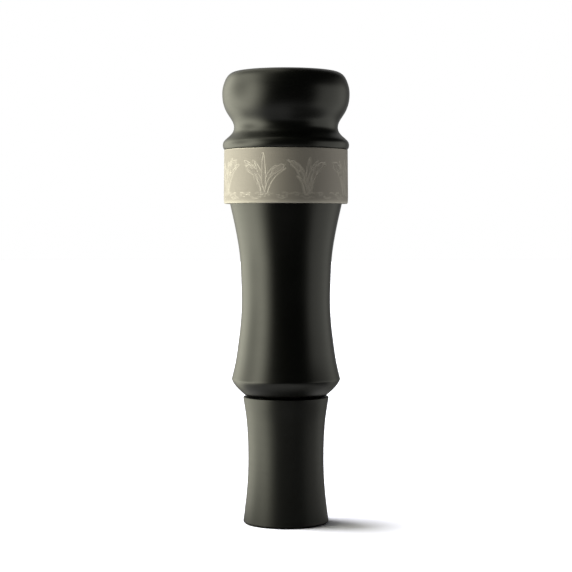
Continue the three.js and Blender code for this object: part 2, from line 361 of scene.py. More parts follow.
CHAMFER = cubic(
    [(FOOT_Z, 11.32), (36.6, 12.02), (37.2, 12.71), (37.8, 13.335), (38.4, 13.91), (39.0, 14.40),
     (39.6, 14.82), (40.2, 15.15), (40.7, 15.33)],
    0.15,
)
WAIST = cubic(
    [(40.7, 15.35), (42.1, 14.985), (44, 14.53), (47, 13.955), (50, 13.535), (53, 13.14), (56, 12.815), (59, 12.588),
     (62, 12.480), (65, 12.488), (68, 12.59), (71, 12.70), (74, 12.86), (77, 13.175), (80, 13.645),
     (83, 14.206), (86, 14.832), (88, 15.286), (90.0, SEAT_R)],
    0.5,
)
BEAD = cubic(
    [(105.3, 17.40), (105.6, 17.58), (106.0, 17.715), (106.5, 17.775), (107.0, 17.705), (107.6, 17.41),
     (108.2, 16.84), (108.9, 16.04), (109.7, 15.27), (110.5, 14.81), (111.5, 14.62), (112.5, 14.78),
     (113.6, 15.30), (114.8, 16.09), (116.0, 16.81), (117.2, 17.33), (118.6, 17.71), (120.6, 17.91),
     (122.4, 17.79), (124.0, 17.34), (125.2, 16.81), (126.1, 16.13), (126.74, 15.22), (127.05, 14.2), (TOP_Z, 13.0)],
    0.16,
)
MOUTH = cubic(
    [(TOP_Z, 13.0), (127.0, 11.95), (126.5, 10.75), (125.65, 9.5), (124.4, 8.35), (122.9, 7.45),
     (121.5, 6.9), (120.0, THROAT_R)],
    0.2,
)


def barrel_outline():
    parts = [
        CHAMFER,
        WAIST,
        line((90.0, SEAT_R), (105.3, SEAT_R), 1.5),
        line((105.3, SEAT_R), (105.3, 17.40), 0.4),
        BEAD,
        MOUTH,
        line((120.0, THROAT_R), (104.0, THROAT_R), 1.0),
        line((104.0, THROAT_R), (97.0, BORE_R), 1.0),
        line((97.0, BORE_R), (37.02, BORE_R), 1.5),
        line((37.02, BORE_R), (FOOT_Z, 8.9), 0.3),
        line((FOOT_Z, 8.9), (FOOT_Z, 11.38), 0.4),
    ]
    #        chamfer waist seat  step  bead mouth throat cone bore lead foot
    radii = [0.16, 0.04, 0.05, 0.12, 0.0, 0.6, 0.4, 0.2, 0.15, 0.12, 0.18]
    return joined(parts, radii)


def mark_edges(ob, reach=0.00045, gain=1.0):
    """Stores how sharply each vertex stands out as 'wear', 0 to 1, for the edge wear in the materials."""
    bm = bmesh.new()
    bm.from_mesh(ob.data)
    bm.verts.ensure_lookup_table()
    wear = np.zeros(len(bm.verts), np.float32)
    for e in bm.edges:
        if len(e.link_faces) != 2:
            continue
        a = e.calc_face_angle_signed(0.0)
        if a <= 0:
            continue
        # the width of the two faces across this edge
        w = sum(f.calc_area() for f in e.link_faces) / max(e.calc_length(), 1e-9)
        k = a * min(1.0, reach / max(w, 1e-9)) * gain
        for v in e.verts:
            wear[v.index] = max(wear[v.index], min(1.0, k))
    bm.free()
    at = ob.data.attributes.new("wear", "FLOAT", "POINT")
    at.data.foreach_set("value", wear)


# ------------------------------------------------------------------ barrel
barrel = turned("barrel_body", barrel_outline(), 224)
mark_edges(barrel, gain=3.0)

# ------------------------------------------------------------------ band, with its etched marsh plants
BAND_Z0, BAND_Z1 = 90.05, 105.2
BAND_R = 17.43
ETCH_DEPTH = 0.05


def bezier(a, b, c, n):
    t = np.linspace(0, 1, n)[:, None]
    return (1 - t) ** 2 * np.array(a) + 2 * t * (1 - t) * np.array(b) + t**2 * np.array(c)


class Etching:
    """A field over the band, unrolled: s mm round it from the front, z mm up. 1 is a full line, 0 is bare metal."""

    def __init__(self):
        self.round = 2 * math.pi * BAND_R
        self.ds = 0.1
        self.ns = int(self.round / self.ds)
        self.ds = self.round / self.ns
        self.z0, self.dz = 89.5, 0.1
        self.nz = 162
        self.f = np.zeros((self.nz, self.ns))

    def stroke(self, points, half, soft=0.07):
        """How much each cell is inside a stroke of varying half width, as a small window of the field."""
        p = np.array(points, float)
        half = np.broadcast_to(np.asarray(half, float), (len(p),))
        pad = half.max() + 0.3
        s_lo, s_hi = p[:, 0].min() - pad, p[:, 0].max() + pad
        z_lo, z_hi = p[:, 1].min() - pad, p[:, 1].max() + pad
        i0, i1 = int(math.floor(s_lo / self.ds)), int(math.ceil(s_hi / self.ds))
        k0 = max(0, int(math.floor((z_lo - self.z0) / self.dz)))
        k1 = min(self.nz - 1, int(math.ceil((z_hi - self.z0) / self.dz)))
        ss = np.arange(i0, i1 + 1) * self.ds
        zz = self.z0 + np.arange(k0, k1 + 1) * self.dz
        gs, gz = np.meshgrid(ss, zz)
        best = np.full(gs.shape, -9.0)
        for (s, z), h in zip(p, half):
            best = np.maximum(best, h - np.hypot(gs - s, gz - z))
        cover = np.clip(best / soft + 0.5, 0, 1)
        return (slice(k0, k1 + 1), np.arange(i0, i1 + 1) % self.ns), cover, gs, gz

    def line(self, points, half=0.15, value=1.0):
        at, cover, _, _ = self.stroke(points, half)
        self.f[at] = np.maximum(self.f[at], cover * value)

    def leaf(self, points, half, fill=0.16, pen=0.15):
        """An outlined shape that hides what is behind it, with a light hatched fill."""
        half = np.asarray(half, float)
        at, outer, gs, gz = self.stroke(points, half + pen)
        _, inner, _, _ = self.stroke_in(points, half - pen, at)
        hatch = 0.5 + 0.5 * np.sin((gs * 0.8 + gz) * 2 * math.pi / 0.62)
        body = inner * (fill * (0.55 + 0.9 * hatch))
        self.f[at] = np.maximum(self.f[at] * (1 - outer), np.maximum(outer - inner, body))

    def stroke_in(self, points, half, at):
        """stroke() again, over the same window."""
        p = np.array(points, float)
        zz = self.z0 + np.arange(at[0].start, at[0].stop) * self.dz
        first = round(p[:, 0].min() / self.ds)
        cols = at[1]
        start = min(range(-2, 3), key=lambda t: abs(cols[0] + t * self.ns - first))
        ss = (cols[0] + start * self.ns + np.arange(len(cols))) * self.ds
        gs, gz = np.meshgrid(ss, zz)
        best = np.full(gs.shape, -9.0)
        for (s, z), h in zip(p, half):
            if h > 0:
                best = np.maximum(best, h - np.hypot(gs - s, gz - z))
        return at, np.clip(best / 0.07 + 0.5, 0, 1), gs, gz

    def sample(self, s, z):
        u = (s / self.ds) % self.ns
        w = np.clip((z - self.z0) / self.dz, 0, self.nz - 1.001)
        i, k = np.floor(u).astype(int), np.floor(w).astype(int)
        fu, fw = u - i, w - k
        i %= self.ns
        i2 = (i + 1) % self.ns
        f = self.f
        return (
            f[k, i] * (1 - fu) * (1 - fw) + f[k, i2] * fu * (1 - fw)
            + f[k + 1, i] * (1 - fu) * fw + f[k + 1, i2] * fu * fw
        )


def marsh(etch):
    """Clumps of rushes standing in rippled water, all the way round the band."""
    rng = np.random.default_rng(41)
    clumps = 8
    step = etch.round / clumps
    for c in range(clumps):
        s0 = (c + 0.5) * step - etch.round / 2 + rng.uniform(-1.0, 1.0)
        ground = 93.0
        # leaves behind, then the seed heads, then one short leaf in front
        leans = [-6.0, 5.6, -3.3, 0.4, 3.1]
        rng.shuffle(leans)
        for lean in leans:
            lean += rng.uniform(-0.7, 0.7)
            tall = rng.uniform(8.4, 10.6) - abs(lean) * 0.34
            base = (s0 + lean * 0.12, ground)
            knee = (s0 + lean * 0.22, ground + tall * 0.72)
            tip = (s0 + lean, ground + tall)
            p = bezier(base, knee, tip, 110)
            t = np.linspace(0, 1, 110)
            half = 0.60 * np.sin(np.pi * np.clip(0.16 + 0.84 * t, 0, 1)) ** 0.75 * (1 - 0.35 * t) + 0.03
            etch.leaf(p, half)
        for lean in (-2.5 + rng.uniform(-0.4, 0.4), 2.7 + rng.uniform(-0.4, 0.4)):
            tall = rng.uniform(8.2, 9.4)
            base = (s0 + lean * 0.1, ground)
            knee = (s0 + lean * 0.45, ground + tall * 0.55)
            neck = (s0 + lean, ground + tall - 3.0)
            etch.line(bezier(base, knee, neck, 90), 0.12)
            d = np.array(neck) - np.array(knee)
            d /= np.linalg.norm(d)
            head = np.array(neck) + d * np.linspace(0.2, 2.5, 40)[:, None]
            etch.leaf(head, np.full(40, 0.66), fill=0.45)
            spike = head[-1] + d * np.linspace(0.6, 1.3, 10)[:, None]
            etch.line(spike, 0.10)
        for lean, tall in ((-1.7, 4.2),):
            lean += rng.uniform(-0.5, 0.5)
            p = bezier((s0 + lean * 0.2, ground), (s0 + lean * 0.5, ground + tall * 0.7), (s0 + lean * 1.6, ground + tall), 70)
            t = np.linspace(0, 1, 70)
            etch.leaf(p, 0.42 * (1 - t) ** 0.6 + 0.05)
    # ripples
    t = np.linspace(0, 1, 60)
    for row, z in enumerate((92.75, 92.1, 91.5)):
        s = -etch.round / 2 + row * 1.7
        while s < etch.round / 2 - 2:
            length = rng.uniform(3.2, 6.4) * (1 - 0.18 * row)
            wave = np.stack([s + t * length, z + 0.13 * np.sin(t * length * 2.1 + row)], 1)
            etch.line(wave, 0.10 * np.sin(np.pi * np.clip(t, 0.02, 0.98)) ** 0.4, 0.85)
            s += length + rng.uniform(1.0, 2.6) * (1 + 0.5 * row)


def make_band():
    outline = joined(
        [
            line((BAND_Z0, 15.75), (BAND_Z0, 17.27), 0.3),
            cubic([(BAND_Z0, 17.27), (90.25, 17.372), (90.6, 17.437), (91.1, 17.474), (91.9, 17.49)], 0.09),
            line((92.2, 17.49), (BAND_Z1, 17.385), 0.115),
            line((BAND_Z1, 17.385), (BAND_Z1, 15.75), 0.3),
            line((BAND_Z1, 15.75), (BAND_Z0, 15.75), 1.5),
        ],
        [0.16, 0.0, 0.24, 0.06, 0.06],
    )
    segments = 960
    ob = turned("band_ring", outline, segments)
    etch = Etching()
    marsh(etch)
    co = np.zeros(len(ob.data.vertices) * 3)
    ob.data.vertices.foreach_get("co", co)
    co = co.reshape(-1, 3)
    r = np.hypot(co[:, 0], co[:, 1])
    # s runs round from the front (-Y), to +X
    s = np.arctan2(co[:, 0], -co[:, 1]) * BAND_R
    z = co[:, 2] / MM
    value = np.where(r > 17.25 * MM, etch.sample(s, z), 0.0)
    co[:, :2] *= (1 - ETCH_DEPTH * MM * value / r)[:, None]
    ob.data.vertices.foreach_set("co", co.ravel())
    at = ob.data.attributes.new("etch", "FLOAT", "POINT")
    at.data.foreach_set("value", value.astype(np.float32))
    ob.data.update()
    return ob


band = make_band()
mark_edges(band, gain=3.0)


# ------------------------------------------------------------------ insert
def prism(name, outline, axis, lo, hi):
    """A closed prism. axis 'side': the outline is (z, v), run along X. axis 'end': the outline is (x, v), run along Z."""
    n = len(outline)
    v = []
    for w in (lo, hi):
        for a, b in outline:
            v.append((w, -b, a) if axis == "side" else (a, -b, w))
    v = np.array(v) * MM
    f = [tuple(range(n)), tuple(range(2 * n - 1, n - 1, -1))]
    f += [(i, (i + 1) % n, n + (i + 1) % n, n + i) for i in range(n)]
    ob = make_object(name, v, f)
    outward(ob)
    return ob


def cut(body, tool):
    """Takes tool away from body, and removes tool."""
    m = body.modifiers.new("cut", "BOOLEAN")
    m.operation, m.solver, m.object = "DIFFERENCE", "EXACT", tool
    bpy.context.view_layer.update()
    shape = bpy.data.meshes.new_from_object(body.evaluated_get(bpy.context.evaluated_depsgraph_get()))
    body.modifiers.clear()
    old = body.data
    body.data = shape
    shape.name = body.name
    bpy.data.meshes.remove(old)
    bpy.data.objects.remove(tool)


def slot_outline(half, floor, wall, roof, steps=40):
    o = [(-half, floor), (half, floor), (half, wall)]
    for i in range(1, steps):
        a = i / steps * math.pi
        o.append((half * math.cos(a), wall + (roof - wall) * math.sin(a)))
    return o + [(-half, wall)]


GRIP = cubic(
    [(0.5, 12.085), (1.8, 11.905), (4, 11.635), (7, 11.275), (10, 10.985), (13, 10.790), (16, 10.690),
     (19, 10.665), (22, 10.715), (25, 10.835), (28, 11.042), (31, 11.375), (33, 11.69), (35.15, 12.01), (35.68, 12.08)],
    0.4,
)


def make_insert():
    grooves = []
    for z in (40.0, 45.4):
        grooves += [
            [(z - 1.05, TENON_R), (z - 1.05, 6.1)],
            [(z - 1.05, 6.1), (z + 1.05, 6.1)],
            [(z + 1.05, 6.1), (z + 1.05, TENON_R)],
        ]
    path = [[(0, 0), (0, 11.5)], [(0, 11.5), (0.5, 12.085)], None, [(SHOULDER_Z, 12.06), (SHOULDER_Z, TENON_R)]]
    z = SHOULDER_Z
    radii = [0.14, 0.12, 0.2, 0.3]
    for g in grooves:
        if g[0][1] == TENON_R:
            path.append([(z, TENON_R), g[0]])
            radii.append(0.12)
        path.append(g)
        radii.append(0.1 if g[1][1] != TENON_R else 0.12)
        z = g[1][0]
    path += [[(z, TENON_R), (TIP_Z - 1.4, TENON_R)], [(TIP_Z - 1.4, TENON_R), (TIP_Z, 6.85)], [(TIP_Z, 6.85), (TIP_Z, 0)]]
    radii += [0.3, 0.15, 0.0]
    # the closing radius of each groove's last wall belongs to the corner with the tenon
    parts = [GRIP if q is None else line(q[0], q[1], 0.6) for q in path]
    ob = turned_solid("insert_body", joined(parts, radii, closed=False), 224)
    flare = cubic([(0.75, 8.3), (4, 7.55), (9, 6.7), (16, 5.6), (23, 4.65), (30, 3.9), (37, 3.2)], 0.5)
    lead = cubic([(-0.6, 10.6), (-0.3, 9.7), (0.0, 9.05), (0.35, 8.6), (0.75, 8.3)], 0.1)
    cut(ob, turned_solid("t", np.vstack([[(-0.6, 0)], lead, flare[1:], [(37, 0)]]), 160))
    # tone channel, breaking out along the board
    end = [(84.2 + 3.2 * math.sin(a), 3.2 * math.cos(a)) for a in np.linspace(0, math.pi / 2, 16)[:-1]]
    tool = turned_solid("t", np.array([(30, 0)] + [(z, 3.2) for z in np.linspace(30, 84.2, 40)] + end[1:] + [(87.4, 0)]), 96)
    tool.data.transform(Matrix.Translation((0, 0.6 * MM, 0)))
    cut(ob, tool)
    # the board: flat from the bridge, then a steady curve down to the tip
    board = [(60.6, 1.2), (62.0, 1.2)]
    board += [(62 + 30 * t, 1.2 - 1.4 * t * t) for t in np.linspace(0, 1, 46)[1:]]
    sweep = cubic([(57.2, 9), (57.6, 7.4), (58.4, 5.4), (59.4, 3.4), (60.2, 2.0), (60.6, 1.2)], 0.25)[:-1]
    outline = board + [(93, -0.35), (93, 9)] + [tuple(q) for q in sweep]
    cut(ob, prism("t", outline, "side", -9, 9))
    cut(ob, prism("t", slot_outline(4.95, 1.2, 2.9, 6.0), "end", 48.4, 62.6))
    bm = bmesh.new()
    bm.from_mesh(ob.data)
    bmesh.ops.remove_doubles(bm, verts=bm.verts, dist=2e-6)
    bmesh.ops.dissolve_degenerate(bm, edges=bm.edges, dist=1e-6)
    bm.to_mesh(ob.data)
    bm.free()
    for q in ob.data.polygons:
        q.use_smooth = True
    ob.data.set_sharp_from_angle(angle=math.radians(32))
    return ob


insert = make_insert()
mark_edges(insert, gain=3.0)


# ------------------------------------------------------------------ O-rings
def o_ring(name, z):
    big, small = 176, 36
    a = np.arange(big) * 2 * math.pi / big
    b = np.arange(small) * 2 * math.pi / small
    # the faint flash line of the mould, outside and inside
    flash = 0.014 * (np.exp(-((np.sin(b / 2) / 0.06) ** 2)) + np.exp(-((np.cos(b / 2) / 0.06) ** 2)))
    q = 0.885 + flash
    rr = 7.03 + q * np.cos(b)
    zz = z + q * np.sin(b)
    v = np.stack(
        [np.outer(np.cos(a), rr).ravel(), np.outer(np.sin(a), rr).ravel(), np.tile(zz, big)], 1
    ) * MM
    f = [
        (i * small + j, ((i + 1) % big) * small + j, ((i + 1) % big) * small + (j + 1) % small, i * small + (j + 1) % small)
        for i in range(big) for j in range(small)
    ]
    ob = make_object(name, v, f)
    outward(ob)
    return ob


lower_ring = o_ring("lower_o_ring_rubber", 40.0)
upper_ring = o_ring("upper_o_ring_rubber", 45.4)


# ------------------------------------------------------------------ reeds
def lofted(name, rings):
    """A closed body through rings of equal length, each end closed by a fan."""
    n, k = len(rings), len(rings[0])
    v = [np.asarray(q, float) for q in rings]
    v = np.vstack(v + [rings[0].mean(0)[None], rings[-1].mean(0)[None]]) * MM
    f = []
    for i in range(n - 1):
        for j in range(k):
            j2 = (j + 1) % k
            f.append((i * k + j, i * k + j2, (i + 1) * k + j2, (i + 1) * k + j))
    for j in range(k):
        j2 = (j + 1) % k
        f.append((n * k, j2, j))
        f.append((n * k + 1, (n - 1) * k + j, (n - 1) * k + j2))
    ob = make_object(name, v, f)
    outward(ob)
    return ob


def reed(name, under, tip, half_at, hole=None):
    """A strip of film with slightly eased edges. half_at(z) is its half width."""
    t, e = 0.28, 0.05
    z = np.concatenate([[48.8, 48.83, 48.9], np.linspace(49.2, tip - 2.2, 84), np.linspace(tip - 2.1, tip - 0.05, 34), [tip - 0.02, tip]])
    rings = []
    for zi in z:
        w = half_at(zi)
        end = min(zi - z[0], z[-1] - zi)
        lift = max(0.0, e - end) * 0.8
        lo, hi = under + lift, under + t - lift
        xs = np.linspace(-w + e, w - e, 15)
        ring = [(x, -lo, zi) for x in xs]
        ring += [(w - e * 0.3, -(lo + e * 0.3), zi), (w, -(lo + e), zi), (w, -(hi - e), zi), (w - e * 0.3, -(hi - e * 0.3), zi)]
        ring += [(x, -hi, zi) for x in xs[::-1]]
        ring += [(-w + e * 0.3, -(hi - e * 0.3), zi), (-w, -(hi - e), zi), (-w, -(lo + e), zi), (-w + e * 0.3, -(lo + e * 0.3), zi)]
        rings.append(np.array(ring))
    ob = lofted(name, rings)
    if hole:
        n = 40
        a = np.arange(n) * 2 * math.pi / n
        v = [(hole[1] * math.cos(q), -w, hole[0] + hole[1] * math.sin(q)) for w in (under - 1, under + t + 1) for q in a]
        f = [tuple(range(n)), tuple(range(2 * n - 1, n - 1, -1))] + [(i, (i + 1) % n, n + (i + 1) % n, n + i) for i in range(n)]
        tool = make_object("t", np.array(v) * MM, f)
        outward(tool)
        cut(ob, tool)
    for q in ob.data.polygons:
        q.use_smooth = True
    ob.data.set_sharp_from_angle(angle=math.radians(35))
    return ob


def lower_half(z):
    """4.75 mm, with the tip corners rounded."""
    c, r = 90.4 - 0.7, 0.7
    return 4.75 if z <= c else 4.75 - (r - math.sqrt(max(0.0, r * r - (z - c) ** 2)))


def upper_half(z):
    """4.75 mm, with the tip corners clipped at 45 degrees."""
    return 4.75 if z <= 87.0 else 4.75 - (z - 87.0)


lower_reed = reed("lower_reed_film", 1.5, 90.4, lower_half, (80.0, 0.62))
upper_reed = reed("upper_reed_film", 2.1, 88.9, upper_half)

# ------------------------------------------------------------------ spacer rivet, turned about the line across the reeds
rivet = turned_solid(
    "reed_spacer_rivet_brass",
    joined(
        [
            cubic([(1.30, 0.0), (1.27, 0.12), (1.245, 0.28), (1.24, 0.5), (1.26, 0.68), (1.32, 0.82), (1.40, 0.885), (1.48, 0.90)], 0.04),
            line((1.48, 0.90), (1.48, 0.52), 0.1),
            line((1.48, 0.52), (1.80, 0.52), 0.1),
            line((1.80, 0.52), (1.80, 1.0), 0.1),
            cubic([(1.80, 1.0), (1.88, 0.985), (1.96, 0.90), (2.02, 0.70), (2.038, 0.48), (2.03, 0.26), (2.0, 0.12), (1.98, 0.0)], 0.04),
        ],
        [0.03, 0.03, 0.03, 0.03, 0.0],
        closed=False,
    ),
    64,
)
# its own Z becomes -Y, and it stands at z = 80
rivet.data.transform(Matrix.Translation((0, 0, 80.0 * MM)) @ Matrix.Rotation(math.radians(90), 4, "X"))
rivet.data.update()


# ------------------------------------------------------------------ cork wedge
def cork_wedge():
    wall, roof, half = 2.9, 5.88, 4.85
    z0, z1 = 48.72, 62.28

    def under_at(z):
        return np.interp(z, [48.7, 61.5, 62.3], [2.96, 2.46, 2.46])

    def ring_at(s, shrink):
        zc = z0 + (z1 - z0) * s
        lo = float(under_at(zc))
        # outline (x, v): along the underside, up one side, over the arch and down the other side
        a0 = math.asin(max(0.0, (lo - wall) / (roof - wall)))
        w0 = half if lo <= wall else half * math.cos(a0)
        pts = [(x, lo) for x in np.linspace(-w0, w0, 44)]
        if lo < wall:
            pts += [(half, q) for q in np.linspace(lo, wall, 5)[1:]]
        else:
            pts += [(w0, lo)] * 4
        for a in np.linspace(a0, math.pi - a0, 66)[1:]:
            pts.append((half * math.cos(a), wall + (roof - wall) * math.sin(a)))
        if lo < wall:
            pts += [(-half, q) for q in np.linspace(wall, lo, 5)[1:-1]]
        else:
            pts += [(-w0, lo)] * 3
        pts = np.array(pts)
        c = np.array([0.0, (lo + roof) / 2 - 0.2])
        pts = c + (pts - c) * shrink
        # the nose slopes back above the wall height
        front = z1 - 1.1 * np.clip((pts[:, 1] - wall) / 3.0, 0, 1)
        z = z0 + (front - z0) * s
        return np.stack([pts[:, 0], -pts[:, 1], z], 1)

    rings = [ring_at(0.0, q) for q in np.linspace(0.06, 0.955, 22)] + [ring_at(0.0035, 0.985)]
    rings += [ring_at(s, 1.0) for s in np.linspace(0.012, 0.988, 96)]
    rings += [ring_at(0.9965, 0.985)] + [ring_at(1.0, q) for q in np.linspace(0.955, 0.06, 22)]
    ob = lofted("cork_wedge_grain", rings)
    bm = bmesh.new()
    bm.from_mesh(ob.data)
    bmesh.ops.remove_doubles(bm, verts=bm.verts, dist=1e-6)
    bm.to_mesh(ob.data)
    bm.free()
    me = ob.data
    from mathutils import noise

    noise.seed_set(7)
    normals = [v.normal.copy() for v in me.vertices]
    for v, nrm in zip(me.vertices, normals):
        q = v.co / MM
        # the gaps between the granules, and a few open pores
        d = noise.voronoi(q / 1.25, distance_metric="DISTANCE")[0]
        gap = max(0.0, 1 - (d[1] - d[0]) / 0.22)
        e = noise.voronoi(q / 1.9 + Vector((9.3, 2.1, 4.4)), distance_metric="DISTANCE")[0][0]
        pore = max(0.0, 1 - e / 0.30)
        fine = 0.5 + 0.5 * noise.noise(q * 3.4)
        v.co = v.co - nrm * MM * (0.035 * gap * gap + 0.09 * pore * pore + 0.02 * fine)
    me.update()
    return ob


wedge = cork_wedge()


# ------------------------------------------------------------------ materials
def satin_black(name, color, rough, ring_depth, cloud, shine=(0.5, 0.5)):
    """Turned and lightly polished black stock: faint lathe rings, handling marks and slightly paler edges.

    shine is the specular level at the table and from 26 mm up."""
    m, g, b, where = surface(name)
    sep = g.node("ShaderNodeSeparateXYZ")
    g.put(sep.inputs[0], where)
    z = sep.outputs[2]
    soft = g.noise(where, 75.0, 2.0, 0.5)  # cloudy polish, about 13 mm
    smear = g.noise(g.vec(where, 1.0, 1.0, 3.2), 210.0, 2.0, 0.55)  # wiped streaks round the body, about 2 mm tall
    coarse = g.noise1(z, 900.0, 3.0, 0.6)  # rings about 1 mm apart
    fine = g.noise1(z, 7000.0, 2.0, 0.6)  # rings about 0.15 mm apart
    lines = g.math("MAXIMUM", scratches(g, where, (0.2, 0.5, 0.1), 160, 5200, 0.70, 0.80),
                   scratches(g, where, (1.1, -0.4, 0.8), 210, 6400, 0.72, 0.82))
    wear = g.attribute("wear")
    worn = g.math("MULTIPLY", wear, g.ramp(g.noise(where, 520.0, 3.0, 0.6), 0.35, 0.68, 0.25, 1.0))
    r = g.math("ADD", rough, g.math("MULTIPLY", g.math("SUBTRACT", soft, 0.5), cloud))
    r = g.math("ADD", r, g.math("MULTIPLY", g.math("SUBTRACT", smear, 0.5), cloud * 0.55))
    r = g.math("ADD", r, g.math("MULTIPLY", g.math("SUBTRACT", coarse, 0.5), 0.035))
    r = g.math("ADD", r, g.math("MULTIPLY", lines, 0.06))
    g.put(b.inputs["Roughness"], g.math("SUBTRACT", r, g.math("MULTIPLY", worn, 0.05), clamp=True))
    pale = tuple(c * 5.5 + 0.004 for c in color)
    tint = g.mix(g.ramp(soft, 0.3, 0.7), tuple(c * 0.86 for c in color), tuple(c * 1.16 for c in color))
    tint = g.mix(g.math("MULTIPLY", worn, 0.5), tint, pale)
    g.put(b.inputs["Base Color"], g.mix(g.math("MULTIPLY", lines, 0.10), tint, pale))
    bevel = g.node("ShaderNodeBevel", samples=4)
    bevel.inputs["Radius"].default_value = 0.00012
    n = g.bump(fine, ring_depth * 0.35, bevel.outputs[0])
    n = g.bump(coarse, ring_depth, n)
    n = g.bump(lines, 1.0e-6, n)
    g.put(b.inputs["Normal"], n)
    b.inputs["IOR"].default_value = 1.5
    g.put(b.inputs["Specular IOR Level"], g.ramp(z, 0.001, 0.026, *shine))
    return m


def satin_silver(name):
    """A brushed and lacquered silver-coloured band. The etched lines are paler and rougher."""
    m, g, b, where = surface(name)
    sep = g.node("ShaderNodeSeparateXYZ")
    g.put(sep.inputs[0], where)
    etch = g.attribute("etch")
    wear = g.attribute("wear")
    brush = g.noise(g.vec(where, 1.0, 1.0, 46.0), 260.0, 3.0, 0.62)  # fine lines that run round the band
    brush2 = g.noise(g.vec(where, 1.0, 1.0, 18.0), 620.0, 2.0, 0.6)
    cloud = g.noise(where, 120.0, 2.0, 0.5)
    grain = g.noise(where, 5200.0, 2.0, 0.7)
    lines = g.math("MAXIMUM", scratches(g, where, (0.3, 0.2, 0.4), 190, 5200, 0.69, 0.79),
                   scratches(g, where, (0.9, -0.7, 0.2), 240, 6200, 0.71, 0.81))
    rubbed = g.ramp(wear, 0.15, 0.8)
    base = g.mix(cloud, BAND_DARK, BAND_LIGHT)
    base = g.mix(g.math("MULTIPLY", g.math("SUBTRACT", brush, 0.42), 0.55, clamp=True), base, tuple(c * 1.12 for c in BAND_LIGHT))
    etched = g.mix(grain, tuple(min(1, c * 1.10) for c in BAND_LIGHT), tuple(min(1, c * 1.36) for c in BAND_LIGHT))
    base = g.mix(g.math("MULTIPLY", etch, 0.9), base, etched)
    # painted highlight: the last 1.5 mm above the lower edge is painted paler, for the light that edge catches from the
    # floor in front
    painted_edge_highlight = g.ramp(sep.outputs[2], 0.0900, 0.0919, 1.0, 0.0)
    base = g.mix(g.math("MULTIPLY", g.math("MULTIPLY", painted_edge_highlight, painted_edge_highlight), 0.85), base, (0.80, 0.77, 0.725))
    base = g.mix(g.math("MULTIPLY", rubbed, 0.35), base, (0.78, 0.76, 0.70))
    base = g.mix(g.math("MULTIPLY", lines, 0.30), base, (0.62, 0.60, 0.56))
    g.put(b.inputs["Base Color"], base)
    r = g.math("ADD", BAND_ROUGH, g.math("MULTIPLY", g.math("SUBTRACT", cloud, 0.5), 0.08))
    r = g.math("ADD", r, g.math("MULTIPLY", g.math("SUBTRACT", brush2, 0.5), 0.06))
    r = g.math("ADD", r, g.math("MULTIPLY", etch, 0.12))
    g.put(b.inputs["Roughness"], g.math("SUBTRACT", r, g.math("MULTIPLY", rubbed, 0.18), clamp=True))
    g.put(b.inputs["Metallic"], g.math("SUBTRACT", 1.0, g.math("MULTIPLY", etch, 0.26)))
    n = g.bump(brush, 1.6e-6)
    n = g.bump(g.math("MULTIPLY", grain, etch), 5.0e-6, n)
    n = g.bump(lines, -1.5e-6, n)
    g.put(b.inputs["Normal"], n)
    return m


def nitrile(name):
    """Matt black rubber with a trace of grease and dust."""
    m, g, b, where = surface(name)
    mottle = g.noise(where, 900.0, 3.0, 0.6)
    film = g.noise(where, 240.0, 2.0, 0.5)
    g.put(b.inputs["Base Color"], g.mix(g.ramp(mottle, 0.35, 0.75), (0.0075, 0.0075, 0.0073), (0.019, 0.0185, 0.0175)))
    g.put(b.inputs["Roughness"], g.ramp(film, 0.35, 0.65, 0.40, 0.62))
    g.put(b.inputs["Normal"], g.bump(g.noise(where, 4200.0, 2.0, 0.6), 4.0e-6))
    return m


def film(name, tint):
    """Milky, slightly see-through plastic film, with long polishing lines and paler cut edges."""
    m, g, b, where = surface(name)
    sep = g.node("ShaderNodeSeparateXYZ")
    g.put(sep.inputs[0], where)
    along = g.noise(g.vec(where, 14.0, 1.0, 0.5), 420.0, 2.0, 0.6)
    haze = g.noise(where, 330.0, 2.0, 0.5)
    edge = g.ramp(g.math("ABSOLUTE", sep.outputs[0]), 0.00462, 0.00475)
    pale = tuple(min(1.0, c * 1.12) for c in tint)
    color = g.mix(haze, tuple(c * 0.93 for c in tint), tint)
    g.put(b.inputs["Base Color"], g.mix(g.math("MULTIPLY", edge, 0.7), color, pale))
    g.put(b.inputs["Roughness"], g.math("ADD", g.ramp(along, 0.3, 0.7, 0.26, 0.40), g.math("MULTIPLY", haze, 0.06)))
    g.put(b.inputs["Transmission Weight"], g.math("SUBTRACT", 0.62, g.math("MULTIPLY", edge, 0.35)))
    b.inputs["IOR"].default_value = 1.58
    g.put(b.inputs["Normal"], g.bump(along, 1.5e-6))
    return m


def brass(name):
    m, g, b, where = surface(name)
    dull = g.noise(where, 1500.0, 3.0, 0.6)
    lines = scratches(g, where, (0.4, 0.9, 0.2), 600, 9000, 0.62, 0.78)
    g.put(b.inputs["Base Color"], g.mix(g.ramp(dull, 0.35, 0.7), (0.82, 0.60, 0.27), (0.56, 0.38, 0.16)))
    g.put(b.inputs["Roughness"], g.math("ADD", g.ramp(dull, 0.3, 0.7, 0.22, 0.42), g.math("MULTIPLY", lines, 0.2)))
    b.inputs["Metallic"].default_value = 1.0
    g.put(b.inputs["Normal"], g.bump(lines, -2.0e-6))
    return m


